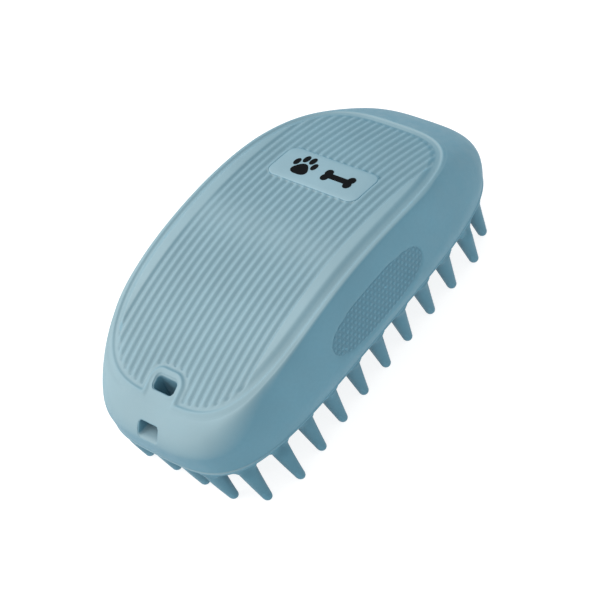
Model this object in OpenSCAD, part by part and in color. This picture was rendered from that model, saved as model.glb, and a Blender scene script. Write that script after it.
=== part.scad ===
// Oval rubber curry brush. A crowned palm body carries a ribbed grip on top, finger grips on both
// sides and a cord passage in its heel. A bristle bed closes it from below and holds an outer ring
// and four inner rows of conical bristles.
// X runs lengthwise with the heel at -X, Z is up, and the bristle tips stand on Z = 0.

/* [Palm body] */
// Length over all
body_length = 130; // [128:1:134]
// Width over all
body_width = 70; // [70:1:74]
// Squareness of the widest outline, where 2 is an ellipse
body_squareness = 3.6; // [3.4:0.1:4.2]
// Height of the widest outline above the bristle tips
widest_z = 22; // [21:0.5:24]
// Length of the outline at the underside
base_length = 124; // [124:0.5:126]
// Width of the outline at the underside
base_width = 64; // [64:0.5:66]
// Squareness of the outline at the underside
base_squareness = 4.6; // [4.6:0.1:5]
// How far the underside sits towards the heel
base_shift = -1.5; // [-2:0.1:-1]

/* [Crown] */
// Height of the rib tops at the middle of the crown
crown_z = 43.7; // [43:0.1:46]
// Radius of the crown along the length
crown_radius = 138; // [134:1:150]
// Where the crown is highest along the length
crown_x = 2; // [0:0.5:4]
// Height of the bead above the rib tops at the brush's two ends
bead_height = 0.4; // [0.2:0.1:0.6]
// How much lower the bead runs along the two long sides
bead_drop = 1.8; // [1.4:0.1:2]
// Width of the bead from its crest to the grip
bead_width = 1.8; // [1.5:0.1:2]

/* [Ribbed grip] */
// Length of the grip recess
grip_length = 107.2; // [106:0.2:108]
// Width of the grip recess
grip_width = 61.4; // [60:0.2:62]
// Squareness of the grip outline
grip_squareness = 3.5; // [3.3:0.1:3.7]
// How far the grip sits towards the heel
grip_shift = -1.3; // [-1.5:0.1:-1]
// Depth of the grip recess
grip_depth = 2.6; // [2.4:0.1:3]
// Distance between neighbouring rib grooves
rib_pitch = 2.73; // [2.6:0.01:2.8]
// Number of rib grooves
rib_grooves = 19; // [15:2:19]
// Radius of a rib groove
groove_radius = 0.65; // [0.5:0.05:0.8]
// Width of the groove round the grip
edge_groove = 1.3; // [1:0.1:1.5]

/* [Label] */
// Where the label plate sits along the length
label_x = 23.6; // [22:0.2:25]
// Length of the label plate along the brush
label_length = 12.8; // [12:0.2:14]
// Width of the label plate across the brush
label_width = 34.6; // [34:0.2:35]
// Thickness of the label plate
label_depth = 1.6; // [1.2:0.1:1.8]

/* [Cord passage] */
// Where the cord slot sits along the length
slot_x = -51.2; // [-51.4:0.1:-51]
// Length of the cord slot along the brush
slot_length = 4.4; // [4.4:0.1:4.8]
// Width of the cord slot across the brush
slot_width = 8.3; // [8:0.1:8.6]
// Width of the end window
window_width = 6.8; // [6.6:0.1:7]
// Height of the end window
window_height = 5.8; // [5.6:0.1:6]
// Height of the middle of the end window
window_z = 25.7; // [25.6:0.1:26]

/* [Finger grips] */
// Length of a finger grip
finger_length = 40; // [38:1:44]
// Height of a finger grip
finger_height = 12.8; // [12:0.2:14]
// Height of the middle of a finger grip
finger_z = 28.5; // [27.5:0.5:28.5]

/* [Bristles] */
// Height of the bed underside above the bristle tips
bed_z = 13.6; // [13:0.1:14]
// Diameter of a bristle at the bed
root_d = 5.4; // [5:0.1:5.4]
// Diameter of a bristle at its tip
tip_d = 2.6; // [2.2:0.1:2.8]
// Distance between neighbouring bristles in a row
bristle_pitch = 10.6; // [10.4:0.1:10.6]
// Half the width of the bristle ring
ring_y = 28; // [27.8:0.1:28]
// Half the length of the bristle ring
ring_x = 57.3; // [57:0.1:57.3]
// How far the bristles sit towards the heel
ring_shift = -2.3; // [-2.3:0.1:-2]

/* [Hidden] */
outline_steps = 96;
side_count = 9;
end_count = 4;
corner_count = 4;
inner_count = 4;
root_ball_d = 5.8;
root_clearance = 0.05;
root_relief = 0.35;
corner_x = 52;
corner_y = 23.8;
row_spacing = 11.4;
lip_z = 15.4;
lip_step = 0.3;
bed_round = 0.4;
spigot_z = 18;
spigot_inset = 2.6;
spigot_clearance = 0.1;
wall_power = 1.6;
shell_side = 6.5;
shell_top = 5.5;
heel_block = 17;
cavity_squareness = 3;
grip_base = 1.3;
grip_clearance = 0.1;
rib_end = 1.5;
rib_band = 1.4;
pad_half = 7.3;
pad_end_x = -46;
pad_corner = 3;
label_corner = 3;
label_gap = 0.35;
mark_height = 0.12;
finger_floor_y = 31.6;
finger_squareness = 2.5;
slot_corner = 1;
tall = 80;
reach = 160;
axis_z = crown_z - crown_radius;
inner_offsets = [-1.5, -0.5, 0.5, 1.5];
corner_signs = [[-1, 1], [-1, -1], [1, 1], [1, -1]];

function numbered(name, count) = [for (i = [1:count]) str(name, i)];

// Outlines ------------------------------------------------------------------------------------

// A point on an oval with half sizes a and b, squarer as n grows
function oval_point(t, a, b, n) =
    pow(pow(abs(cos(t)), n) + pow(abs(sin(t)), n), -1 / n) * [a * cos(t), b * sin(t)];

function oval(a, b, n, shift = 0) =
    [for (i = [0:outline_steps - 1]) oval_point(360 * i / outline_steps, a, b, n) + [shift, 0]];

// Half length of an oval at a distance y from its long axis
function oval_half_length(y, a, b, n) = a * pow(max(0, 1 - pow(abs(y) / b, n)), 1 / n);

// Height of the crowned top, an arc along the length
function crown(x) = axis_z + sqrt(pow(crown_radius, 2) - pow(x - crown_x, 2));

function blend(a, b, s) = a + (b - a) * s;

// Outline of the wall below its widest height
function lower_wall(z, inset = 0) =
    let (
        s = pow(max(0, widest_z - z) / (widest_z - bed_z), wall_power),
        wide = oval(body_length / 2 - inset, body_width / 2 - inset, body_squareness),
        base = oval(base_length / 2 - inset, base_width / 2 - inset, base_squareness, base_shift)
    )
    [for (i = [0:outline_steps - 1]) blend(wide[i], base[i], s)];

// Outline of the grip recess, grown outwards by a margin
function grip_outline(grow = 0) =
    oval(grip_length / 2 + grow, grip_width / 2 + grow, grip_squareness, grip_shift);

function at_height(points, z) = [for (p = points) [p[0], p[1], z]];

// Points on the crown, which falls away towards the long sides outside the grip
function on_crown(points, lift = 0) =
    [for (p = points)
        [p[0], p[1], crown(p[0]) + lift - bead_drop * pow(2 * p[1] / body_width, 2)]];

// A ring of the upper wall, a curve that leaves the widest outline upwards and meets the bead level
function upper_wall(s) =
    let (
        wide = at_height(lower_wall(widest_z), widest_z),
        crest = on_crown(grip_outline(bead_width), bead_height)
    )
    [for (i = [0:outline_steps - 1])
        let (
            w = wide[i],
            c = crest[i],
            up = [w[0], w[1], blend(w[2], c[2], 0.4)],
            out = [blend(c[0], w[0], 0.35), blend(c[1], w[1], 0.35), c[2]]
        )
        pow(1 - s, 3) * w + 3 * pow(1 - s, 2) * s * up + 3 * (1 - s) * s * s * out + s * s * s * c
    ];

// A closed solid through rings that all have the same number of points
module loft(rings) {
    count = len(rings[0]);
    last = len(rings) - 1;
    points = [for (ring = rings) for (p = ring) p];
    sides = [for (r = [0:last - 1]) for (i = [0:count - 1])
        let (j = (i + 1) % count)
        each [
            [r * count + i, (r + 1) * count + i, (r + 1) * count + j],
            [r * count + i, (r + 1) * count + j, r * count + j]
        ]];
    floor_face = [[for (i = [0:count - 1]) i]];
    roof_face = [[for (i = [count - 1:-1:0]) last * count + i]];
    polyhedron(points, concat(sides, floor_face, roof_face), convexity = 6);
}

// The crown's own cylinder, made smaller by a depth
module crown_cylinder(depth = 0) {
    translate([crown_x, 0, axis_z])
        rotate([90, 0, 0])
            cylinder(r = crown_radius - depth, h = reach, center = true, $fn = 240);
}

// A layer under the crown between two depths, cut to a flat outline
module crown_layer(top, bottom) {
    difference() {
        intersection() {
            linear_extrude(tall) children();
            crown_cylinder(top);
        }
        crown_cylinder(bottom);
    }
}

module rounded_rectangle(length, width, corner) {
    square([length - 2 * corner, width], center = true);
    square([length, width - 2 * corner], center = true);
    for (x = [-1, 1])
        for (y = [-1, 1])
            translate([x * (length / 2 - corner), y * (width / 2 - corner)])
                circle(r = corner, $fn = 48);
}

// Bristle places ------------------------------------------------------------------------------

function side_places(side) =
    [for (i = [0:side_count - 1])
        [ring_shift + (i - (side_count - 1) / 2) * bristle_pitch, side * ring_y]];

function end_places(end) =
    [for (i = [0:end_count - 1])
        [ring_shift + end * ring_x, (i - (end_count - 1) / 2) * bristle_pitch]];

function corner_place(i) =
    [ring_shift + corner_signs[i][0] * corner_x, corner_signs[i][1] * corner_y];

// The two middle rows have one bristle fewer and stand half a pitch off their neighbours
function inner_places(row) =
    let (
        offset = inner_offsets[row],
        count = abs(offset) > 1 ? side_count + 1 : side_count
    )
    [for (i = [0:count - 1])
        [ring_shift + (i - (count - 1) / 2) * bristle_pitch, offset * row_spacing]];

ring_places = concat(
    side_places(1),
    side_places(-1),
    end_places(-1),
    end_places(1),
    [for (i = [0:corner_count - 1]) corner_place(i)]
);
all_places = concat(ring_places, [for (row = [0:inner_count - 1]) each inner_places(row)]);

// Round spaces for bristle roots, larger than the roots all round by a margin
module root_sockets(places, margin) {
    for (place = places)
        translate([place[0], place[1], bed_z])
            sphere(d = root_ball_d + 2 * margin, $fn = 32);
}

// Palm body -----------------------------------------------------------------------------------

// The outside of the palm body with its top still closed
module palm_outside() {
    loft(concat(
        [for (z = [lip_z, 17, 18.7, 20.3]) at_height(lower_wall(z), z)],
        [for (k = [0:8]) upper_wall(k / 8)],
        [on_crown(grip_outline(bead_width * 0.4), bead_height * 0.7)],
        [for (s = [1, 0.7, 0.35, 0.05]) on_crown([for (p = grip_outline()) p * s])]
    ));
}

// The smooth pad round the cord slot, which the ribs go round
module slot_pad(grow = 0) {
    translate([pad_end_x + grow - pad_half * 2, 0])
        rounded_rectangle(pad_half * 4, pad_half * 2 + 2 * grow, pad_corner);
}

module grip_recess() {
    difference() {
        linear_extrude(tall)
            difference() {
                polygon(grip_outline());
                slot_pad();
            }
        crown_cylinder(grip_depth);
    }
}

// The hollow inside, which leaves a solid heel for the cord passage
module cavity() {
    half_length = (body_length - 2 * shell_side - heel_block) / 2;
    intersection() {
        translate([0, 0, lip_z - 1])
            linear_extrude(tall)
                polygon(oval(half_length, body_width / 2 - shell_side, cavity_squareness, heel_block / 2));
        crown_cylinder(grip_depth + shell_top);
    }
}

module spigot_pocket() {
    translate([0, 0, lip_z - 1])
        linear_extrude(spigot_z - lip_z + 1)
            polygon(lower_wall(lip_z, spigot_inset - spigot_clearance));
}

// The cord goes in at the top slot and comes out of the end window
module cord_passage() {
    depth = window_z - window_height / 2;
    translate([slot_x, 0, depth])
        linear_extrude(tall)
            rounded_rectangle(slot_length, slot_width, slot_corner);
    translate([slot_x + slot_length / 2, 0, window_z])
        rotate([0, -90, 0])
            linear_extrude(tall)
                rounded_rectangle(window_height, window_width, slot_corner);
}

// Outline of a finger grip, pushed through the side wall from a flat floor outwards
module finger_prism(side, grow = 0) {
    mirror([0, side > 0 ? 0 : 1, 0])
        translate([0, reach, finger_z])
            rotate([90, 0, 0])
                linear_extrude(reach - finger_floor_y)
                    polygon(oval(finger_length / 2 + grow, finger_height / 2 + grow, finger_squareness));
}

module palm_body() {
    color("#8fb0bd")
        difference() {
            palm_outside();
            grip_recess();
            cavity();
            spigot_pocket();
            cord_passage();
            finger_prism(1, grip_clearance);
            finger_prism(-1, grip_clearance);
            root_sockets(ring_places, root_relief);
        }
}

// Ribbed grip and label -----------------------------------------------------------------------

// One rib groove, an arc that follows the crown between two places along the length
module rib_groove(y, from_x, to_x) {
    start = asin((from_x - crown_x) / crown_radius);
    end = asin((to_x - crown_x) / crown_radius);
    translate([crown_x, y, axis_z])
        rotate([90, 0, 0])
            rotate([0, 0, 90 - end])
                rotate_extrude(angle = end - start, $fn = 360)
                    translate([crown_radius, 0])
                        circle(r = groove_radius, $fn = 24);
}

module rib_grooves() {
    for (i = [0:rib_grooves - 1]) {
        y = (i - (rib_grooves - 1) / 2) * rib_pitch;
        half = oval_half_length(
            y,
            grip_length / 2 - edge_groove - rib_end,
            grip_width / 2 - edge_groove - rib_band,
            grip_squareness
        );
        beside_pad = abs(y) < pad_half + rib_end;
        rib_groove(y, beside_pad ? pad_end_x + rib_end : grip_shift - half, grip_shift + half);
    }
}

module ribbed_grip() {
    color("#93b4c1")
        difference() {
            union() {
                crown_layer(grip_base, grip_depth)
                    difference() {
                        polygon(grip_outline(-grip_clearance));
                        slot_pad(grip_clearance);
                    }
                crown_layer(0, grip_depth)
                    difference() {
                        polygon(grip_outline(-edge_groove));
                        slot_pad(edge_groove);
                    }
            }
            rib_grooves();
            difference() {
                translate([label_x, 0, 0])
                    linear_extrude(tall)
                        rounded_rectangle(
                            label_length + 2 * label_gap, label_width + 2 * label_gap, label_corner);
                crown_cylinder(label_depth);
            }
        }
}

module label_plate() {
    color("#9dbcc8")
        crown_layer(0, label_depth)
            translate([label_x, 0])
                rounded_rectangle(label_length, label_width, label_corner);
}

// A plain paw print: one large pad and four toes
module paw_outline() {
    circle(r = 2.1, $fn = 32);
    for (y = [-1.3, 1.3])
        translate([-0.9, y])
            circle(r = 1.3, $fn = 32);
    for (toe = [[1.9, -2.9], [3.4, -1.05], [3.4, 1.05], [1.9, 2.9]])
        translate(toe)
            circle(r = 0.95, $fn = 32);
}

// A plain bone: a bar with two knobs on each end
module bone_outline() {
    square([2, 8], center = true);
    for (x = [-1.05, 1.05])
        for (y = [-4.3, 4.3])
            translate([x, y])
                circle(r = 1.35, $fn = 32);
}

module label_mark() {
    color("#1d2226")
        crown_layer(-mark_height, 0)
            translate([label_x, 0]) {
                translate([-0.8, 8.4])
                    paw_outline();
                translate([0, -6.2])
                    bone_outline();
            }
}

// Finger grips --------------------------------------------------------------------------------

module side_grip(side) {
    color("#5f8fa1")
        intersection() {
            palm_outside();
            finger_prism(side);
        }
}

// Bristle bed and bristles --------------------------------------------------------------------

module bristle_bed() {
    color("#6d9bad")
        difference() {
            union() {
                loft([
                    at_height(lower_wall(bed_z, lip_step + bed_round), bed_z),
                    at_height(lower_wall(bed_z + 0.3, lip_step + 0.1), bed_z + 0.3),
                    at_height(lower_wall(bed_z + 0.9, lip_step), bed_z + 0.9),
                    at_height(lower_wall(lip_z, lip_step), lip_z)
                ]);
                translate([0, 0, lip_z - 0.5])
                    linear_extrude(spigot_z - lip_z + 0.5)
                        polygon(lower_wall(lip_z, spigot_inset));
            }
            root_sockets(all_places, root_clearance);
        }
}

// One bristle hanging from the round root that it bends about
module bristle(place) {
    shank = bed_z - tip_d / 2;
    translate([place[0], place[1], bed_z]) {
        sphere(d = root_ball_d, $fn = 48);
        translate([0, 0, -shank])
            cylinder(h = shank, d1 = tip_d, d2 = root_d, $fn = 48);
        translate([0, 0, -shank])
            sphere(d = tip_d, $fn = 48);
    }
}

module bristles(places) {
    color("#5a8797")
        for (place = places)
            bristle(place);
}

palm_body();
ribbed_grip();
label_plate();
label_mark();
side_grip(1);  // side_grip_left
side_grip(-1);  // side_grip_right
bristle_bed();
for (i = [1:side_count]) {
    bristles([side_places(1)[i - 1]]);
    bristles([side_places(-1)[i - 1]]);
}
for (i = [1:end_count]) {
    bristles([end_places(-1)[i - 1]]);
    bristles([end_places(1)[i - 1]]);
}
for (i = [1:corner_count])
    bristles([corner_place(i - 1)]);
for (i = [1:inner_count])
    bristles(inner_places(i - 1));
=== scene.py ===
import math

import bpy
import bmesh
import numpy as np
from mathutils import Matrix, Vector


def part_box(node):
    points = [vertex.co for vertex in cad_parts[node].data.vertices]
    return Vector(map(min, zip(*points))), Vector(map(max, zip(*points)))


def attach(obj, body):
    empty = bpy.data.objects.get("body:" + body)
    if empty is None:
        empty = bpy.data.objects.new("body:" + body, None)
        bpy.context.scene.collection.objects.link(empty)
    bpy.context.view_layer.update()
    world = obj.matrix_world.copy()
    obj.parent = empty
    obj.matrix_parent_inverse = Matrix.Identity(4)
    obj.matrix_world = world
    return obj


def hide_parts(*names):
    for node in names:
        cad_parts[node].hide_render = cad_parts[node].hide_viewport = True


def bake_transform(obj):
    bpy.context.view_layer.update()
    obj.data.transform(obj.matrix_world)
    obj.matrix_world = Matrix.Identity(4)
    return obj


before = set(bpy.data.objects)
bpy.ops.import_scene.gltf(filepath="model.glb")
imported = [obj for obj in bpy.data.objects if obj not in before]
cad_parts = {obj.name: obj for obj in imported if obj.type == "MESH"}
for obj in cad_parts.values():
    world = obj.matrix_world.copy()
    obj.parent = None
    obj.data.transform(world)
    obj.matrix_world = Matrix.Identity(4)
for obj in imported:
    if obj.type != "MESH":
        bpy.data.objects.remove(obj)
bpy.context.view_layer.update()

# Oval rubber curry brush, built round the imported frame. Shapes are worked out in millimetres,
# and new_mesh() turns them into metres.

MM = 0.001


def mm_box(node):
    """Lowest and highest corner of a CAD node in millimetres."""
    low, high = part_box(node)
    return np.array(low) / MM, np.array(high) / MM


# Sizes ---------------------------------------------------------------------------------------

palm_low, palm_high = mm_box("palm_body")
grip_low, grip_high = mm_box("ribbed_grip")
label_low, label_high = mm_box("label_plate")
bed_low, bed_high = mm_box("bristle_bed")

BODY_A = (palm_high[0] - palm_low[0]) / 2
BODY_B = (palm_high[1] - palm_low[1]) / 2
BODY_N = 3.35
WIDEST_Z = 22.0
LIP_Z = palm_low[2]
BASE_A, BASE_B, BASE_N, BASE_SHIFT = 62.0, 32.0, 4.3, -1.5
LIP_RAISE = 0.8
BED_Z = bed_low[2]
WALL_POWER = 1.6

BEAD_HEIGHT = 0.5
BEAD_WIDTH = 2.4
BEAD_DROP = 1.8
TOE_DROP = 0.35
CROWN_RADIUS = 138.0
CROWN_X = 2.0
AXIS_Z = grip_high[2] - CROWN_RADIUS

GRIP_N = 3.5
GRIP_SHIFT = -1.3
GRIP_A = grip_high[0] - GRIP_SHIFT + 0.1
GRIP_B = grip_high[1] + 0.1
GRIP_INSET = 1.7

RIB_PITCH = 2.73
RIB_GROOVES = 19
RIB_DEPTH = 0.7
RIB_EDGE = RIB_PITCH * RIB_GROOVES / 2

PAD_HALF = 6.8
PAD_X = -47.2
PAD_CORNER = 4.5

LABEL_X = (label_low[0] + label_high[0]) / 2
LABEL_HALF_X = (label_high[0] - label_low[0]) / 2
LABEL_HALF_Y = (label_high[1] - label_low[1]) / 2
LABEL_CORNER = 3.0

SLOT_X = -51.7
SLOT_HALF_X, SLOT_HALF_Y = 1.9, 3.85
SLOT_CORNER = 1.2
SLOT_ROUND = 0.55
SLOT_RIM = 0.2
WINDOW_Z = 25.4
WINDOW_HALF_Y, WINDOW_HALF_Z = 3.7, 1.9
WINDOW_CORNER = 0.9
WINDOW_ROUND = 0.5

FINGER_Z = 28.0
FINGER_A, FINGER_B, FINGER_N = 20.0, 7.0, 2.5
FINGER_RECESS = 0.25
FINGER_BED = 0.2
FINGER_BACK = 1.0
DOT_PITCH = 1.75
DOT_HEIGHT = 0.24
DOT_RADIUS = DOT_PITCH * 0.33

PRINT_SINK, PRINT_LIFT = -0.1, 0.09

TIP_RADIUS = 1.48
CONE_ANGLE = math.radians(7.0)
FLARE = 1.15
ROOT_SHIFT = -0.35
ROOT_TOP = LIP_Z - 0.2
INNER_COUNTS = (10, 9, 9, 10)
BRISTLE_PITCH = 10.6
LEAN_SPREAD = 0.1
LEAN_SEED = 11

CREASE_ANGLE = math.radians(38)
SOFT_CREASE_ANGLE = math.radians(60)


# Curves and heights --------------------------------------------------------------------------

def oval(t, a, b, n, shift=0.0):
    """Points on an oval at the angles t. n is 2 for an ellipse, and larger is squarer."""
    c, s = np.cos(t), np.sin(t)
    k = (np.abs(c) ** n + np.abs(s) ** n) ** (-1.0 / n)
    return np.stack([a * c * k + shift, b * s * k], -1)


def half_length(y, a, b, n):
    """Half length of an oval at a distance y from its long axis."""
    return a * np.maximum(0.0, 1.0 - (np.abs(y) / b) ** n) ** (1.0 / n)


def oval_distance(x, y, a, b, n, shift=0.0):
    """Distance to an oval's edge, negative inside it, good close to the edge."""
    u = np.abs(x - shift) / a + 1e-6
    v = np.abs(y) / b + 1e-6
    f = (u ** n + v ** n) ** (1.0 / n)
    slope = f ** (1.0 - n) * np.hypot(u ** (n - 1.0) / a, v ** (n - 1.0) / b)
    return (f - 1.0) / slope


def box_distance(x, y, cx, cy, half_x, half_y, corner):
    """Distance to the edge of a rounded rectangle, negative inside it."""
    dx = np.abs(x - cx) - half_x + corner
    dy = np.abs(y - cy) - half_y + corner
    outside = np.hypot(np.maximum(dx, 0.0), np.maximum(dy, 0.0))
    return outside + np.minimum(np.maximum(dx, dy), 0.0) - corner


def smooth_max(p, q, k):
    """The larger of p and q, blended over a width k where they are close."""
    h = np.clip(0.5 + 0.5 * (p - q) / k, 0.0, 1.0)
    return q + (p - q) * h + k * h * (1.0 - h)


def smooth_step(low, high, v):
    """0 below low, 1 above high and a soft curve between them."""
    w = np.clip((v - low) / (high - low), 0.0, 1.0)
    return w * w * (3.0 - 2.0 * w)


def past_heel(x):
    """0 at the heel and 1 from the middle of the brush to the toe."""
    return smooth_step(-50, -5, x)


def crown(x):
    """Height of the rib tops, an arc along the length."""
    return AXIS_Z + np.sqrt(CROWN_RADIUS ** 2 - (x - CROWN_X) ** 2)


def rib_cut(y):
    """0 on a rib's top and 1 in the middle of a groove."""
    wave = 0.5 - 0.5 * np.cos(2.0 * math.pi * (y + RIB_EDGE) / RIB_PITCH)
    return np.where(np.abs(y) < RIB_EDGE, wave, 0.0)


def top_height(x, y):
    """Height of the top's surface above the crown."""
    to_edge = oval_distance(x, y, GRIP_A, GRIP_B, GRIP_N, GRIP_SHIFT)
    to_pad = box_distance(x, y, PAD_X - 2 * PAD_HALF, 0, 2 * PAD_HALF, PAD_HALF, PAD_CORNER)
    q = smooth_max(to_edge, -to_pad, 0.6)
    cut = rib_cut(y)
    to_label = box_distance(x, y, LABEL_X, 0, LABEL_HALF_X, LABEL_HALF_Y, LABEL_CORNER)
    middle = 1.0 - 0.3 * np.exp(-((x + 1.0) / 7.0) ** 2) - 0.15 * smooth_step(10, 40, x)
    ribs = RIB_DEPTH * cut ** 1.1 * middle * smooth_step(-0.1, 0.35, to_label)
    toe = smooth_step(10, 50, x)
    drop = BEAD_DROP * (1.0 - 0.35 * toe) * (y / BODY_B) ** 2 + TOE_DROP * toe
    slope = np.clip((to_edge + 1.9) / 2.6, 0.0, 1.0)
    fall = drop * (0.55 * slope + 0.45 * smooth_step(0.0, 1.0, slope))
    heel = smooth_step(30, 50, -x)
    side = (y / BODY_B) ** 2
    groove = (0.48 - 0.12 * heel) * (1.0 - 0.75 * side) * np.exp(-((q + 0.5) / 0.8) ** 2)
    inside = 1.0 - smooth_step(-1.1, -0.3, q)
    recess = 0.8 * (1.0 - smooth_step(-0.4, 0.1, to_label))
    depth = smooth_max(np.maximum(ribs * inside, recess), groove, 0.25)
    bead_place = 1.45 + 0.25 * side - 0.5 * smooth_step(30, 52, -x)
    outer = np.where(q > bead_place, 1.1 * side * (1.0 - 0.5 * toe), 0.0)
    bead_spread = 0.58 - 0.1 * toe + outer
    bead = BEAD_HEIGHT * np.exp(-((q - bead_place) / bead_spread) ** 2)
    to_slot = box_distance(x, y, SLOT_X, 0, SLOT_HALF_X, SLOT_HALF_Y, 1.4)
    rim = SLOT_RIM * np.exp(-((to_slot - 0.8) / 0.5) ** 2)
    return bead - depth - fall + rim


def wall_frame(t):
    """What shapes the upper wall at the angles t: its two rims, its height, its sag and its lean."""
    wide = oval(t, BODY_A, BODY_B, BODY_N)
    crest = oval(t, GRIP_A + BEAD_WIDTH, GRIP_B + BEAD_WIDTH, GRIP_N, GRIP_SHIFT)
    crest_z = crown(crest[..., 0]) + top_height(crest[..., 0], crest[..., 1])
    reach = np.linalg.norm(wide - crest, axis=-1)
    steep = 0.45 + 0.3 * np.tanh(crest[..., 0] / 30.0)
    sag = 0.35 * reach * steep / (crest_z - WIDEST_Z)
    lean = 1.95 - 1.55 * smooth_step(0.90, 0.98, np.abs(wide[..., 1]) / BODY_B)
    return wide, crest, crest_z, sag, lean


def wall_rise(s, sag):
    """Share of the upper wall's height that is reached at its curve's place s."""
    bend = 3 * (1 - s) * s ** 2
    return 1.2 * (1 - s) ** 2 * s + bend * (1 - sag) + s ** 3


def wall_inward(s, lean):
    """Share of the way from the widest outline to the bead's foot at the curve's place s."""
    return lean * (1 - s) * s ** 2 + s ** 3


S_TABLE = np.linspace(0.0, 1.0, 400)
RISE_TABLE = wall_rise(S_TABLE, 0.0)


def wall_point(t, z):
    """Point of the side wall at the outline angle t and the height z."""
    wide, crest, crest_z, sag, lean = wall_frame(t)
    base = oval(t, BASE_A, BASE_B, BASE_N, BASE_SHIFT)
    base[..., 1] *= 1.0 - 0.03 * past_heel(base[..., 0])
    low = np.clip((WIDEST_Z - z) / (WIDEST_Z - BED_Z), 0.0, 1.0) ** WALL_POWER
    rise = np.clip((z - WIDEST_Z) / (crest_z - WIDEST_Z), 0.0, 1.0)
    s = np.interp(rise, RISE_TABLE, S_TABLE)
    for _ in range(6):
        s = np.interp(rise + 3 * (1 - s) * s ** 2 * sag, RISE_TABLE, S_TABLE)
    inward = wall_inward(s, lean)
    flat = wide + (base - wide) * low[..., None] + (crest - wide) * inward[..., None]
    return np.concatenate([flat, np.broadcast_to(z, t.shape)[..., None]], -1)


def upper_wall(t, s):
    """Ring of the wall between the widest outline, at s 0, and the bead's foot, at s 1."""
    wide, crest, crest_z, sag, lean = wall_frame(t)
    inward = wall_inward(s, lean)
    flat = wide + (crest - wide) * inward[:, None]
    z = WIDEST_Z + (crest_z - WIDEST_Z) * wall_rise(s, sag)
    return np.column_stack([flat, z])


def outward(points):
    """Unit normals of a closed ring, in its own plane."""
    along = np.roll(points, -1, 0) - np.roll(points, 1, 0)
    normal = np.stack([along[:, 1], -along[:, 0]], -1)
    return normal / np.linalg.norm(normal, axis=1)[:, None]


# Mesh tools ----------------------------------------------------------------------------------

def new_mesh(name, points, faces, sharp=CREASE_ANGLE):
    """A smooth-shaded object from points in millimetres."""
    mesh = bpy.data.meshes.new(name)
    mesh.from_pydata((np.asarray(points) * MM).tolist(), [], faces)
    mesh.validate()
    obj = bpy.data.objects.new(name, mesh)
    bpy.context.collection.objects.link(obj)
    shade(obj, sharp)
    return obj


def shade(obj, sharp):
    """Shades obj smooth, with a crease at each edge that is sharper than the given angle."""
    obj.data.shade_smooth()
    obj.data.set_sharp_from_angle(angle=sharp)
    obj.data.update()


def ring_faces(count, first, second, flip=False):
    """Quads between two closed rings of vertices that start at first and at second."""
    faces = []
    for i in range(count):
        j = (i + 1) % count
        face = (first + i, first + j, second + j, second + i)
        faces.append(face[::-1] if flip else face)
    return faces


def cut_with(obj, cutter):
    """Takes the cutter's closed solid out of obj and deletes the cutter."""
    modifier = obj.modifiers.new("cut", "BOOLEAN")
    modifier.operation = "DIFFERENCE"
    modifier.solver = "MANIFOLD"
    modifier.object = cutter
    apply_modifiers(obj)
    old = cutter.data
    bpy.data.objects.remove(cutter)
    bpy.data.meshes.remove(old)


def apply_modifiers(obj):
    """Turns obj into what its modifiers make of it."""
    graph = bpy.context.evaluated_depsgraph_get()
    mesh = bpy.data.meshes.new_from_object(obj.evaluated_get(graph))
    obj.modifiers.clear()
    old = obj.data
    obj.data = mesh
    bpy.data.meshes.remove(old)
    mesh.name = obj.name


def fix_normals(obj):
    """Points every face of obj outwards."""
    work = bmesh.new()
    work.from_mesh(obj.data)
    bmesh.ops.recalc_face_normals(work, faces=work.faces)
    work.to_mesh(obj.data)
    work.free()
    obj.data.update()


def joined(parts):
    """Points and faces of several meshes, each a pair of points and faces, as one."""
    points, faces = [], []
    offset = 0
    for at, sides in parts:
        points.append(at)
        faces += [tuple(v + offset for v in face) for face in sides]
        offset += len(at)
    return np.concatenate(points), faces


# Palm skin -----------------------------------------------------------------------------------

def along_samples():
    """Places along the length of the top, closest together where there is fine detail."""
    spans = [
        (-1.0, -0.80, 54),
        (-0.80, 0.28, 70),
        (0.28, 0.66, 66),
        (0.66, 0.90, 20),
        (0.90, 1.0, 24),
    ]
    places = [np.linspace(a, b, n, endpoint=False) for a, b, n in spans]
    return np.concatenate(places + [np.array([1.0])])


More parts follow.
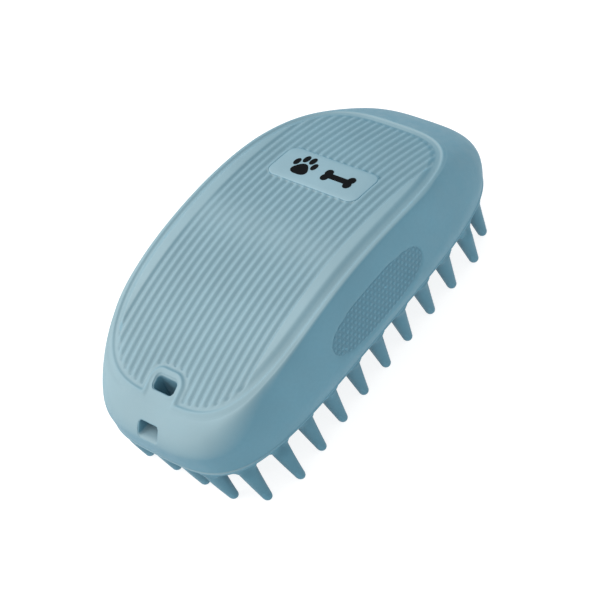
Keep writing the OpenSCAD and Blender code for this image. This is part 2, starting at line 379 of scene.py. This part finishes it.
def top_grid():
    """The grid of the top inside the perimeter groove: points, faces and its outer loop."""
    a, b = GRIP_A - GRIP_INSET, GRIP_B - GRIP_INSET
    last = RIB_EDGE + 0.05
    step = RIB_PITCH / 8
    inner = np.arange(0.0, last - 1.4, step)
    rows = np.concatenate([inner, np.linspace(inner[-1] + step / 2, last, 7)])
    rows = np.concatenate([-rows[:0:-1], rows])
    u = along_samples()
    lens_rows = 7
    points = []
    index = np.zeros((len(rows) + 2 * lens_rows, len(u)), int)

    def add_row(j, xs, ys, corners=None):
        """Adds a row of points. Its two ends are corners, points that exist, where given."""
        for i in range(len(u)):
            if corners and i in (0, len(u) - 1):
                index[j, i] = corners[0] if i == 0 else corners[1]
                continue
            index[j, i] = len(points)
            points.append((xs[i], ys[i]))

    for j, y in enumerate(rows):
        xs = GRIP_SHIFT + half_length(y, a, b, GRIP_N) * u
        add_row(lens_rows + j, xs, np.full(len(u), y))
    xs = GRIP_SHIFT + half_length(last, a, b, GRIP_N) * u
    arc = b * (1.0 - (np.abs(xs - GRIP_SHIFT) / a) ** GRIP_N) ** (1.0 / GRIP_N)
    for side in (-1, 1):
        edge = lens_rows if side < 0 else lens_rows + len(rows) - 1
        corners = (index[edge, 0], index[edge, -1])
        for k in range(1, lens_rows + 1):
            ys = side * (last + (arc - last) * (k / lens_rows) ** 0.8)
            add_row(edge + side * k, xs, ys, corners)
    faces = []
    for j in range(index.shape[0] - 1):
        for i in range(len(u) - 1):
            corner = [index[j, i], index[j, i + 1], index[j + 1, i + 1], index[j + 1, i]]
            face = [int(v) for k, v in enumerate(corner) if v not in corner[:k]]
            if len(face) > 2:
                faces.append(face)
    first, end = lens_rows, lens_rows + len(rows) - 1
    loop = [index[j, -1] for j in range(first, end + 1)]
    loop += [index[-1, i] for i in range(len(u) - 2, 0, -1)]
    loop += [index[j, 0] for j in range(end, first - 1, -1)]
    loop += [index[0, i] for i in range(1, len(u) - 1)]
    return np.array(points), faces, loop


def finger_mask(points):
    """How far each wall point is inside a finger grip: positive inside, in millimetres."""
    x, z = points[:, 0], points[:, 2] - FINGER_Z
    return -oval_distance(x, z, FINGER_A, FINGER_B, FINGER_N)


def palm_skin():
    """The palm body's whole outside: the ribbed top, the bead, the wall and the lip under it."""
    flat, faces, loop = top_grid()
    heights = crown(flat[:, 0]) + top_height(flat[:, 0], flat[:, 1])
    points = [np.column_stack([flat, heights])]
    edge = flat[loop]
    a, b = GRIP_A - GRIP_INSET, GRIP_B - GRIP_INSET
    t = np.arctan2(edge[:, 1] / b, (edge[:, 0] - GRIP_SHIFT) / a)
    rings = []
    for grow in np.arange(-1.5, BEAD_WIDTH, 0.25):
        ring = oval(t, GRIP_A + grow, GRIP_B + grow, GRIP_N, GRIP_SHIFT)
        z = crown(ring[:, 0]) + top_height(ring[:, 0], ring[:, 1])
        rings.append(np.column_stack([ring, z]))
    upper_steps = 30
    for k in range(upper_steps + 1):
        rings.append(upper_wall(t, 1.0 - k / upper_steps))
    raised = LIP_RAISE * past_heel(rings[-1][:, 0])
    for z in (20.4, 19.6, 18.8, 18.0, 17.3, 16.7, 16.25):
        rings.append(wall_point(t, z + raised * (WIDEST_Z - z) / (WIDEST_Z - LIP_Z)))
    lip = [(0.50, 0.03), (0.36, 0.2), (0.22, 0.3), (0.06, 0.32), (-0.08, 0.24), (-0.14, 0.0)]
    for up, out in lip:
        ring = wall_point(t, LIP_Z + up + raised)
        ring[:, :2] += outward(ring[:, :2]) * out
        rings.append(ring)
    under = rings[-1]
    for scale in (0.985, 0.8, 0.4, 0.02):
        rings.append(under * (scale, scale, 1.0))
    near_wall = 25.0
    for ring in rings:
        side = np.abs(ring[:, 1]) > near_wall
        inside = smooth_step(-0.1, 0.6, finger_mask(ring)) * side
        ring[:, 1] -= np.sign(ring[:, 1]) * (FINGER_RECESS + FINGER_BED) * inside
    offset = len(flat)
    count = len(loop)
    first = offset
    for i in range(count):
        j = (i + 1) % count
        faces.append((int(loop[i]), first + i, first + j, int(loop[j])))
    for r in range(len(rings) - 1):
        faces += ring_faces(count, first + r * count, first + (r + 1) * count, flip=True)
    last = first + (len(rings) - 1) * count
    centre = last + count
    for i in range(count):
        faces.append((last + i, centre, last + (i + 1) % count))
    tip = rings[-1].mean(0)[None, :]
    skin = new_mesh("palm_skin", np.concatenate(points + rings + [tip]), faces)
    fix_normals(skin)
    cut_with(skin, slot_cutter())
    cut_with(skin, window_cutter())
    shade(skin, SOFT_CREASE_ANGLE)
    return skin


def rounded_rectangle(half_x, half_y, corner, steps=8):
    """Outline of a rounded rectangle, anticlockwise."""
    points = []
    for k, (sx, sy) in enumerate([(1, 1), (-1, 1), (-1, -1), (1, -1)]):
        for i in range(steps + 1):
            angle = math.radians(90 * k + 90 * i / steps)
            points.append((
                sx * (half_x - corner) + corner * math.cos(angle),
                sy * (half_y - corner) + corner * math.sin(angle),
            ))
    return np.array(points)


def prism(name, levels):
    """A closed solid through outlines of equal length, each placed in space already."""
    count = len(levels[0])
    points = np.concatenate(levels)
    faces = []
    for r in range(len(levels) - 1):
        faces += ring_faces(count, r * count, (r + 1) * count)
    faces.append(tuple(range(count))[::-1])
    faces.append(tuple(range((len(levels) - 1) * count, len(levels) * count)))
    obj = new_mesh(name, points, faces)
    fix_normals(obj)
    return obj


def mouth_curve(radius):
    """Steps of a cutter's rounded mouth: how deep each one is and how much wider it is."""
    turns = [math.radians(angle) for angle in range(15, 76, 12)]
    return [(radius * (1 - math.sin(turn)), radius * (1 - math.cos(turn))) for turn in turns]


def slot_ring(grow):
    """The slot's outline, made larger by grow."""
    return rounded_rectangle(SLOT_HALF_X + grow, SLOT_HALF_Y + grow, SLOT_CORNER + grow)


def slot_cutter():
    """The slot's shaft, whose mouth flares out along the sloping crown into a rounded rim."""
    bottom = WINDOW_Z - WINDOW_HALF_Z
    levels = []
    for z, grow in ((bottom, -0.9), (bottom + 0.25, -0.35), (bottom + 0.9, 0.0)):
        ring = slot_ring(grow)
        levels.append(np.column_stack([ring[:, 0] + SLOT_X, ring[:, 1], np.full(len(ring), z)]))
    steps = [(-2.0, 0.0), (-0.9, 0.0)]
    steps += [(-0.35 - deep, grow) for deep, grow in mouth_curve(SLOT_ROUND)]
    steps.append((2.0, SLOT_ROUND * 2.2))
    for lift, grow in steps:
        ring = slot_ring(grow)
        x = ring[:, 0] + SLOT_X
        levels.append(np.column_stack([x, ring[:, 1], crown(x) + SLOT_RIM + lift]))
    return prism("slot_cutter", levels)


def window_cutter():
    """The end window's tunnel, whose mouth follows the wall and is rounded least at its floor."""
    heel = np.full(60, math.pi)
    heights = np.linspace(WIDEST_Z - 6, WIDEST_Z + 12, 60)
    heel_x = wall_point(heel, heights)[:, 0]
    levels = []
    ring = rounded_rectangle(WINDOW_HALF_Z, WINDOW_HALF_Y, WINDOW_CORNER)
    for x in (SLOT_X + SLOT_HALF_X - 0.3, SLOT_X - 4.0):
        levels.append(np.column_stack([np.full(len(ring), x), ring[:, 1], WINDOW_Z + ring[:, 0]]))
    steps = [(1.4, 0.0)]
    steps += [(0.05 + deep, grow) for deep, grow in mouth_curve(WINDOW_ROUND)]
    steps.append((-5.0, steps[-1][1]))
    for inward, grow in steps:
        half_z, half_y = WINDOW_HALF_Z + grow, WINDOW_HALF_Y + grow
        ring = rounded_rectangle(half_z, half_y, WINDOW_CORNER + grow)
        z = WINDOW_Z + ring[:, 0] - np.where(ring[:, 0] < 0, 0.3 * grow, 0.0)
        wall_x = np.interp(z, heights, heel_x)
        levels.append(np.column_stack([wall_x + inward, ring[:, 1], z]))
    return prism("window_cutter", levels)


# Label and print -----------------------------------------------------------------------------

def label_slab():
    """The label plate, a slab with soft edges that lies on the crown."""
    steps = [
        (-0.05, -1.2), (0.0, -1.0), (0.0, -0.3), (-0.08, -0.12), (-0.22, -0.02), (-0.45, 0.03)
    ]
    rings = []
    for grow, lift in steps:
        ring = rounded_rectangle(LABEL_HALF_X + grow, LABEL_HALF_Y + grow, LABEL_CORNER + grow)
        rings.append((ring, lift))
    flat_ring, flat_lift = rings[-1]
    for scale in (0.8, 0.5, 0.2, 0.02):
        rings.append((flat_ring * scale, flat_lift))
    levels = []
    for ring, lift in rings:
        x = ring[:, 0] + LABEL_X
        levels.append(np.column_stack([x, ring[:, 1], crown(x) + lift]))
    return prism("label_slab", levels)


def print_patch(outline):
    """Points and faces of a thin raised print with the given outline."""
    x = outline[:, 0]
    low = np.column_stack([outline, crown(x) + PRINT_SINK])
    high = np.column_stack([outline, crown(x) + PRINT_LIFT])
    count = len(outline)
    faces = ring_faces(count, 0, count)
    faces.append(tuple(range(count))[::-1])
    faces.append(tuple(range(count, 2 * count)))
    return np.concatenate([low, high]), faces


def blob(cx, cy, rx, ry, lobes=0.0):
    """Outline of an ellipse, which lobes pulls into three rounded corners."""
    angle = np.linspace(0, 2 * math.pi, 36, endpoint=False)
    radius = 1.0 + lobes * np.cos(3 * angle)
    return np.column_stack([cx + rx * radius * np.cos(angle), cy + ry * radius * np.sin(angle)])


def bone_outline(cx, cy):
    """A plain bone: a bar with two knobs on each end."""
    knob, knob_x, knob_y, notch_y = 1.35, 1.05, 4.3, 5.15
    start = math.atan2(-knob, -0.05)
    end = math.atan2(notch_y - knob_y, -knob_x)
    arc = np.linspace(start, end, 22)
    one = np.column_stack([knob_x + knob * np.cos(arc), knob_y + knob * np.sin(arc)])
    two = one[::-1] * (-1, 1)
    top = np.concatenate([one[:-1], two])
    bottom = top * (-1, -1)
    return np.concatenate([top, bottom]) + (cx, cy)


def label_print():
    """The generic print on the label: a paw and a bone."""
    paw_y, bone_y = 7.6, -6.0
    toes = [(1.1, -3.35, 1.45, 1.0), (3.0, -1.25, 1.5, 1.05)]
    toes += [(3.0, 1.25, 1.5, 1.05), (1.1, 3.35, 1.45, 1.0)]
    shapes = [blob(LABEL_X - 1.4, paw_y, 2.3, 2.9, 0.1)]
    for x, y, rx, ry in toes:
        shapes.append(blob(LABEL_X + x, paw_y + y, rx, ry))
    shapes.append(bone_outline(LABEL_X, bone_y))
    points, faces = joined([print_patch(shape) for shape in shapes])
    obj = new_mesh("label_print", points, faces)
    fix_normals(obj)
    return obj


# Finger grips --------------------------------------------------------------------------------

def wall_y(x, z):
    """Distance of the wall from the long axis at the given length and height."""
    low = np.full(x.shape, math.radians(40.0))
    high = np.full(x.shape, math.radians(140.0))
    for _ in range(40):
        middle = (low + high) / 2
        beyond = wall_point(middle, z)[..., 0] > x
        low = np.where(beyond, middle, low)
        high = np.where(beyond, high, middle)
    return wall_point((low + high) / 2, z)[..., 1]


def dots(x, z):
    """Height share of the nearest grip dot of a hexagonal pattern, from 0 to 1."""
    row_step = DOT_PITCH * math.sqrt(3) / 2
    row = np.round(z / row_step)
    best = np.full(x.shape, 9.0)
    for extra in (-1, 0, 1):
        r = row + extra
        shift = np.where(r % 2 == 0, 0.0, DOT_PITCH / 2)
        column = np.round((x - shift) / DOT_PITCH)
        best = np.minimum(best, np.hypot(x - shift - column * DOT_PITCH, z - r * row_step))
    return np.clip(1.0 - (best / DOT_RADIUS) ** 2, 0.0, 1.0)


def finger_grip(name, side):
    """A thin curved patch covered in small round dots."""
    across, up = 260, 84
    u = np.linspace(-1, 1, across)
    v = np.linspace(-1, 1, up)
    uu, vv = np.meshgrid(u, v)
    reach = (1.0 - np.abs(uu) ** FINGER_N) ** (1.0 / FINGER_N)
    reach = np.maximum(reach, 0.02)
    x = FINGER_A * uu
    z = FINGER_B * vv * reach
    inside = -oval_distance(x, z, FINGER_A, FINGER_B, FINGER_N)
    edge = smooth_step(0.0, 0.7, inside)
    share = dots(x, z) * smooth_step(0.4, 1.1, inside)
    base = wall_y(x, z + FINGER_Z)
    front = base - FINGER_RECESS - FINGER_BED * (1.0 - edge) + DOT_HEIGHT * np.sqrt(share)
    back = base - FINGER_RECESS - FINGER_BACK
    count = across * up
    points = np.concatenate([
        np.column_stack([x.ravel(), side * front.ravel(), z.ravel() + FINGER_Z]),
        np.column_stack([x.ravel(), side * back.ravel(), z.ravel() + FINGER_Z]),
    ])
    faces = []
    for j in range(up - 1):
        for i in range(across - 1):
            a = j * across + i
            face = (a, a + 1, a + across + 1, a + across)
            faces.append(face)
            faces.append(tuple(k + count for k in face[::-1]))
    border = list(range(across))
    border += [j * across + across - 1 for j in range(1, up)]
    border += [(up - 1) * across + i for i in range(across - 2, -1, -1)]
    border += [j * across for j in range(up - 2, 0, -1)]
    for k, a in enumerate(border):
        b = border[(k + 1) % len(border)]
        faces.append((a, a + count, b + count, b))
    obj = new_mesh(name, points, faces, SOFT_CREASE_ANGLE)
    fix_normals(obj)
    return obj


# Bristle bed and bristles --------------------------------------------------------------------

def bed_outline(t, z, inset):
    """Outline of the bed at the height z, set in from the wall it continues."""
    grow = past_heel(BODY_A * np.cos(t))
    share = np.clip((z - BED_Z) / (LIP_Z - BED_Z), 0.0, 1.0)
    ring = wall_point(t, z + LIP_RAISE * grow * share)
    inset = inset * (0.7 + 0.3 * grow) + 0.2 * grow
    ring[:, :2] -= outward(ring[:, :2]) * inset[:, None]
    return ring


def bed_skin():
    """The bed under the palm body, with a rounded lower edge."""
    t = np.linspace(0, 2 * math.pi, 480, endpoint=False)
    steps = [
        (LIP_Z + 0.4, 3.0), (LIP_Z + 0.3, 0.7), (LIP_Z, 0.4), (LIP_Z - 0.4, 0.38),
        (LIP_Z - 0.8, 0.42), (LIP_Z - 1.1, 0.52), (LIP_Z - 1.35, 0.7), (LIP_Z - 1.55, 0.95),
        (LIP_Z - 1.7, 1.3), (BED_Z, 1.8),
    ]
    rings = [bed_outline(t, z, inset) for z, inset in steps]
    last = rings[-1]
    for scale in (0.9, 0.75, 0.6, 0.45, 0.3, 0.15, 0.02):
        rings.append(last * (scale, scale, 1.0))
    first = rings[0]
    caps = [first * (scale, scale, 1.0) for scale in (0.02, 0.3, 0.6, 0.85)]
    return prism("bed_skin", caps + rings)


def bristle_profile():
    """Radius and height of a bristle from the bed down to its rounded tip."""
    profile = []
    for angle in (0, 12, 26, 40, 54, 68, 80, 90):
        turn = math.radians(angle)
        z = BED_Z - FLARE * math.sin(turn)
        radius = TIP_RADIUS + (z - TIP_RADIUS) * math.tan(CONE_ANGLE)
        profile.append((radius + FLARE * (1 - math.sin(turn)) * 0.9 * math.cos(turn / 2), z))
    for share in np.linspace(0.12, 1.0, 9):
        z = BED_Z - FLARE - share * (BED_Z - FLARE - TIP_RADIUS)
        profile.append((TIP_RADIUS + (z - TIP_RADIUS) * math.tan(CONE_ANGLE), z))
    for angle in (18, 36, 52, 66, 78, 86):
        turn = math.radians(angle)
        profile.append((TIP_RADIUS * math.cos(turn) ** 0.8, TIP_RADIUS * (1 - math.sin(turn))))
    return profile


def bristle_points(cx, cy, lean, steps=28):
    """Points and faces of one bristle. lean is how far its tip stands from its root."""
    angle = np.linspace(0, 2 * math.pi, steps, endpoint=False)
    profile = bristle_profile()
    rings = []
    for radius, z in [(profile[0][0] * 0.95, ROOT_TOP)] + profile:
        share = max(0.0, (BED_Z - z) / BED_Z) ** 1.3
        x = cx + lean[0] * share + ROOT_SHIFT * (1.0 - share) + radius * np.cos(angle)
        y = cy + lean[1] * share + radius * np.sin(angle)
        out = oval_distance(x, y, BASE_A - 0.42, BASE_B - 0.9, BASE_N, BASE_SHIFT)
        push = np.maximum(out, 0.0) * (1.0 - smooth_step(0.5, 3.5, BED_Z - z))
        toward = np.stack([cx - x, cy - y])
        toward = toward / np.maximum(np.hypot(toward[0], toward[1]), 1e-6)
        x, y = x + toward[0] * push, y + toward[1] * push
        rings.append(np.column_stack([x, y, np.full(steps, z)]))
    tip = np.array([[cx + lean[0], cy + lean[1], 0.0]])
    roof = np.array([[cx, cy, ROOT_TOP]])
    faces = []
    for r in range(len(rings) - 1):
        faces += ring_faces(steps, r * steps, (r + 1) * steps, flip=True)
    last = (len(rings) - 1) * steps
    end = len(rings) * steps
    for i in range(steps):
        j = (i + 1) % steps
        faces.append((last + i, end, last + j))
        faces.append((j, end + 1, i))
    return np.concatenate(rings + [tip, roof]), faces


def set_out(cx, cy):
    """How far a bristle's tip stands out from its root: the ring splays a little at its ends."""
    side = math.copysign(1.0, cy)
    heel = max(0.0, (8.0 - cx) / 54.0) ** 2
    if cx < -58:
        return 0.9, 0.09 * cy
    if cx > 54:
        return 0.3, 0.0
    if abs(cy) > 26:
        return -0.35 + 0.4 * heel, side * (0.3 + 3.0 * heel)
    if abs(cy) > 20:
        return (-0.4, side * 3.0) if cx < 0 else (-0.2, side * 0.5)
    return 0.0, 0.0


def bristle_piece(node, places, rng):
    """The bristles at the given places as one piece, in place of its CAD node."""
    parts = []
    for cx, cy in places:
        lean = rng.normal(0.0, LEAN_SPREAD, 2) + set_out(cx, cy)
        parts.append(bristle_points(cx, cy, lean))
    points, faces = joined(parts)
    piece = new_mesh(node + "_rubber", points, faces, SOFT_CREASE_ANGLE)
    fix_normals(piece)
    piece.data.materials.append(BRISTLE_RUBBER)
    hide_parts(node)
    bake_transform(piece)


# Materials -----------------------------------------------------------------------------------

# Direction of the painted light: faces turned this way, up and towards the heel, get a lighter
# colour, as if lit from there.
PAINTED_LIGHT_DIRECTION = (-0.5, 0.0, 0.866)


def rubber(name, base, lit_colour=None, rough=0.55, grain=0.05, tone=0.05, edge_wear_and_highlight=0.10, gloss=0.3):
    """Matte moulded rubber: mottled colour, fine grain, convex edges lighter as wear and a painted
    highlight, hollows darker as painted shade.

    The optional second colour is painted light: faces that look up and towards the heel take it, as
    if lit from there."""
    mat = bpy.data.materials.new(name)
    mat.use_nodes = True
    tree = mat.node_tree
    nodes, links = tree.nodes, tree.links
    shader = nodes["Principled BSDF"]
    coords = nodes.new("ShaderNodeTexCoord")

    def noise(scale, detail, roughness=0.55):
        node = nodes.new("ShaderNodeTexNoise")
        node.inputs["Scale"].default_value = scale
        node.inputs["Detail"].default_value = detail
        node.inputs["Roughness"].default_value = roughness
        links.new(coords.outputs["Object"], node.inputs["Vector"])
        return node.outputs["Fac"]

    def remap(value, low, high, to_low, to_high):
        node = nodes.new("ShaderNodeMapRange")
        node.inputs["From Min"].default_value = low
        node.inputs["From Max"].default_value = high
        node.inputs["To Min"].default_value = to_low
        node.inputs["To Max"].default_value = to_high
        links.new(value, node.inputs["Value"])
        return node.outputs["Result"]

    def scaled(colour, factor):
        return tuple(min(1.0, c * factor) for c in colour) + (1.0,)

    def mix(factor, first, second):
        node = nodes.new("ShaderNodeMix")
        node.data_type = "RGBA"
        links.new(factor, node.inputs["Factor"])
        for socket, value in (("A", first), ("B", second)):
            target = [s for s in node.inputs if s.name == socket and s.type == "RGBA"][0]
            if isinstance(value, tuple):
                target.default_value = value
            else:
                links.new(value, target)
        return [s for s in node.outputs if s.type == "RGBA"][0]

    cloud = noise(60.0, 4.0)
    speck = noise(900.0, 3.0, 0.6)
    mottle = remap(cloud, 0.3, 0.7, 0.0, 1.0)
    colour = mix(mottle, scaled(base, 1 - tone), scaled(base, 1 + tone))
    colour = mix(remap(speck, 0.35, 0.65, 0.0, 0.22), colour, scaled(base, 0.86))
    geometry = nodes.new("ShaderNodeNewGeometry")
    # Painted light: faces turned up and towards the heel blend into the lighter colour.
    if lit_colour:
        light_facing = nodes.new("ShaderNodeVectorMath")
        light_facing.operation = "DOT_PRODUCT"
        light_facing.inputs[1].default_value = PAINTED_LIGHT_DIRECTION
        links.new(geometry.outputs["Normal"], light_facing.inputs[0])
        painted_light_mask = remap(light_facing.outputs["Value"], 0.42, 0.95, 0.0, 1.0)
        painted_lit_colour = mix(mottle, scaled(lit_colour, 1 - tone), scaled(lit_colour, 1 + tone))
        colour = mix(painted_light_mask, colour, painted_lit_colour)
    # Convex edges turn lighter, partly wear and partly a painted highlight along the bead; hollows
    # and rib grooves turn darker as painted shade.
    edge = remap(geometry.outputs["Pointiness"], 0.51, 0.56, 0.0, edge_wear_and_highlight * 3)
    painted_hollow_shade = remap(geometry.outputs["Pointiness"], 0.49, 0.44, 0.0, 0.32)
    colour = mix(edge, colour, scaled(base, 1.45))
    colour = mix(painted_hollow_shade, colour, scaled(base, 0.78))
    links.new(colour, shader.inputs["Base Color"])
    smear = noise(240.0, 3.0)
    links.new(remap(smear, 0.3, 0.7, rough - 0.07, rough + 0.08), shader.inputs["Roughness"])
    shader.inputs["Specular IOR Level"].default_value = gloss
    bump = nodes.new("ShaderNodeBump")
    bump.inputs["Strength"].default_value = grain
    bump.inputs["Distance"].default_value = 0.0002
    links.new(noise(2600.0, 2.0, 0.6), bump.inputs["Height"])
    soft = nodes.new("ShaderNodeBump")
    soft.inputs["Strength"].default_value = grain * 2
    soft.inputs["Distance"].default_value = 0.0006
    links.new(noise(160.0, 2.0), soft.inputs["Height"])
    links.new(soft.outputs["Normal"], bump.inputs["Normal"])
    links.new(bump.outputs["Normal"], shader.inputs["Normal"])
    return mat


DEEP = (0.101, 0.241, 0.318)
# The lighter body and label colours below are painted light, taken by faces lit from above the heel.
BODY_PAINTED_LIGHT = (0.240, 0.358, 0.404)
LABEL_PAINTED_LIGHT = (0.270, 0.396, 0.448)
# The finger grip, bed and bristle colours are darker copies of the body's rubber: painted shade for
# the grip hollows and the parts under the body.
FINGER_SHADED_BLUE = (0.079, 0.196, 0.264)
BED_SHADED_BLUE = (0.090, 0.222, 0.296)
BRISTLE_SHADED_BLUE = (0.070, 0.192, 0.260)
INK = (0.004, 0.005, 0.006)
BODY_RUBBER = rubber("body_rubber", DEEP, BODY_PAINTED_LIGHT)
LABEL_RUBBER = rubber("label_rubber", DEEP, LABEL_PAINTED_LIGHT, rough=0.6, grain=0.03)
FINGER_RUBBER = rubber("finger_rubber", FINGER_SHADED_BLUE, edge_wear_and_highlight=0.4)
BED_RUBBER = rubber("bed_rubber", BED_SHADED_BLUE)
BRISTLE_RUBBER = rubber("bristle_rubber", BRISTLE_SHADED_BLUE, rough=0.5)
PRINT_INK = rubber("print_ink", INK, rough=0.8, tone=0.2, edge_wear_and_highlight=0.0, gloss=0.05)


# Pieces --------------------------------------------------------------------------------------

def on_palm(piece, material, slot, *nodes):
    """Gives a rigid piece its material, ties it to the palm and hides the CAD nodes it shows."""
    piece.data.materials.clear()
    piece.data.materials.append(material)
    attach(piece, "palm")
    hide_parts(*nodes)


on_palm(palm_skin(), BODY_RUBBER, "body_rubber", "palm_body", "ribbed_grip")
on_palm(label_slab(), LABEL_RUBBER, "label_rubber", "label_plate")
on_palm(label_print(), PRINT_INK, "label_print", "label_mark")
on_palm(finger_grip("finger_grip_left", 1), FINGER_RUBBER, "finger_rubber", "side_grip_left")
on_palm(finger_grip("finger_grip_right", -1), FINGER_RUBBER, "finger_rubber", "side_grip_right")
on_palm(bed_skin(), BED_RUBBER, "bed_rubber", "bristle_bed")

rng = np.random.default_rng(LEAN_SEED)
GROUPS = [("side_bristle_left_", 9, "left_side_bristles"),
          ("side_bristle_right_", 9, "right_side_bristles"),
          ("heel_bristle_", 4, "heel_bristles"),
          ("toe_bristle_", 4, "toe_bristles"),
          ("corner_bristle_", 4, "corner_bristle_body_")]


def centre_of(node):
    """Middle of a CAD node, seen from above, in millimetres."""
    low, high = mm_box(node)
    return (low[0] + high[0]) / 2, (low[1] + high[1]) / 2


for prefix, count, body in GROUPS:
    for i in range(1, count + 1):
        node = prefix + str(i)
        bristle_piece(node, [centre_of(node)], rng)
for row, count in enumerate(INNER_COUNTS, 1):
    node = "inner_bristle_row_" + str(row)
    cx, cy = centre_of(node)
    places = [(cx + (i - (count - 1) / 2) * BRISTLE_PITCH, cy) for i in range(count)]
    bristle_piece(node, places, rng)


# Floor, light and camera ---------------------------------------------------------------------

def studio_floor():
    """A wide floor that is close to white, like the photograph's ground."""
    work = bmesh.new()
    bmesh.ops.create_grid(work, x_segments=24, y_segments=24, size=6.0)
    mesh = bpy.data.meshes.new("studio_floor")
    work.to_mesh(mesh)
    work.free()
    floor = bpy.data.objects.new("studio_floor", mesh)
    bpy.context.collection.objects.link(floor)
    mat = bpy.data.materials.new("studio_floor")
    mat.use_nodes = True
    shader = mat.node_tree.nodes["Principled BSDF"]
    shader.inputs["Base Color"].default_value = (0.32, 0.32, 0.32, 1.0)
    shader.inputs["Roughness"].default_value = 0.9
    shader.inputs["Specular IOR Level"].default_value = 0.1
    shader.inputs["Emission Color"].default_value = (1.0, 1.0, 1.0, 1.0)
    shader.inputs["Emission Strength"].default_value = 0.84
    floor.data.materials.append(mat)


def area_light(name, place, aim, size, watts):
    """A round white light at a place, turned towards its aim."""
    data = bpy.data.lights.new(name, "AREA")
    data.shape = "DISK"
    data.size = size
    data.energy = watts
    light = bpy.data.objects.new(name, data)
    light.location = place
    direction = Vector(aim) - Vector(place)
    light.rotation_mode = "QUATERNION"
    light.rotation_quaternion = direction.to_track_quat("-Z", "Y")
    bpy.context.collection.objects.link(light)


def camera():
    """The camera at the photograph's viewing angle."""
    azimuth, elevation, roll = (math.radians(v) for v in (-59.87, 42.4, -27.13))
    distance = 0.6292
    aim_right, aim_up = 0.002442, -0.008113
    target = Vector((0.0, 0.0, 0.025))
    back = Vector((-math.cos(elevation) * math.cos(azimuth),
                   math.cos(elevation) * math.sin(azimuth), math.sin(elevation)))
    right = (-back).cross(Vector((0, 0, 1))).normalized()
    up = right.cross(-back)
    turned_right = math.cos(roll) * right + math.sin(roll) * up
    turned_up = -math.sin(roll) * right + math.cos(roll) * up
    place = target + back * distance
    middle = target + aim_right * turned_right + aim_up * turned_up
    back = (place - middle).normalized()
    turned_right = turned_up.cross(back).normalized()
    turned_up = back.cross(turned_right)
    data = bpy.data.cameras.new("camera")
    data.sensor_width = 36.0
    data.lens = 133.27
    data.clip_start, data.clip_end = 0.05, 20.0
    cam = bpy.data.objects.new("camera", data)
    axes = Matrix((turned_right, turned_up, back)).transposed().to_4x4()
    cam.matrix_world = Matrix.Translation(place) @ axes
    bpy.context.collection.objects.link(cam)
    bpy.context.scene.camera = cam


studio_floor()
LIGHT_AIM = (0.0, 0.0, 0.02)
area_light("key_light", (-0.75, 0.65, 0.55), LIGHT_AIM, size=0.6, watts=2.6)
area_light("top_light", (-0.10, 0.75, 0.85), LIGHT_AIM, size=0.8, watts=5.2)
world = bpy.data.worlds.new("studio")
world.use_nodes = True
background = world.node_tree.nodes["Background"]
background.inputs["Color"].default_value = (1.0, 1.0, 1.0, 1.0)
background.inputs["Strength"].default_value = 0.95
bpy.context.scene.world = world
bpy.context.scene.view_settings.view_transform = "Standard"
camera()
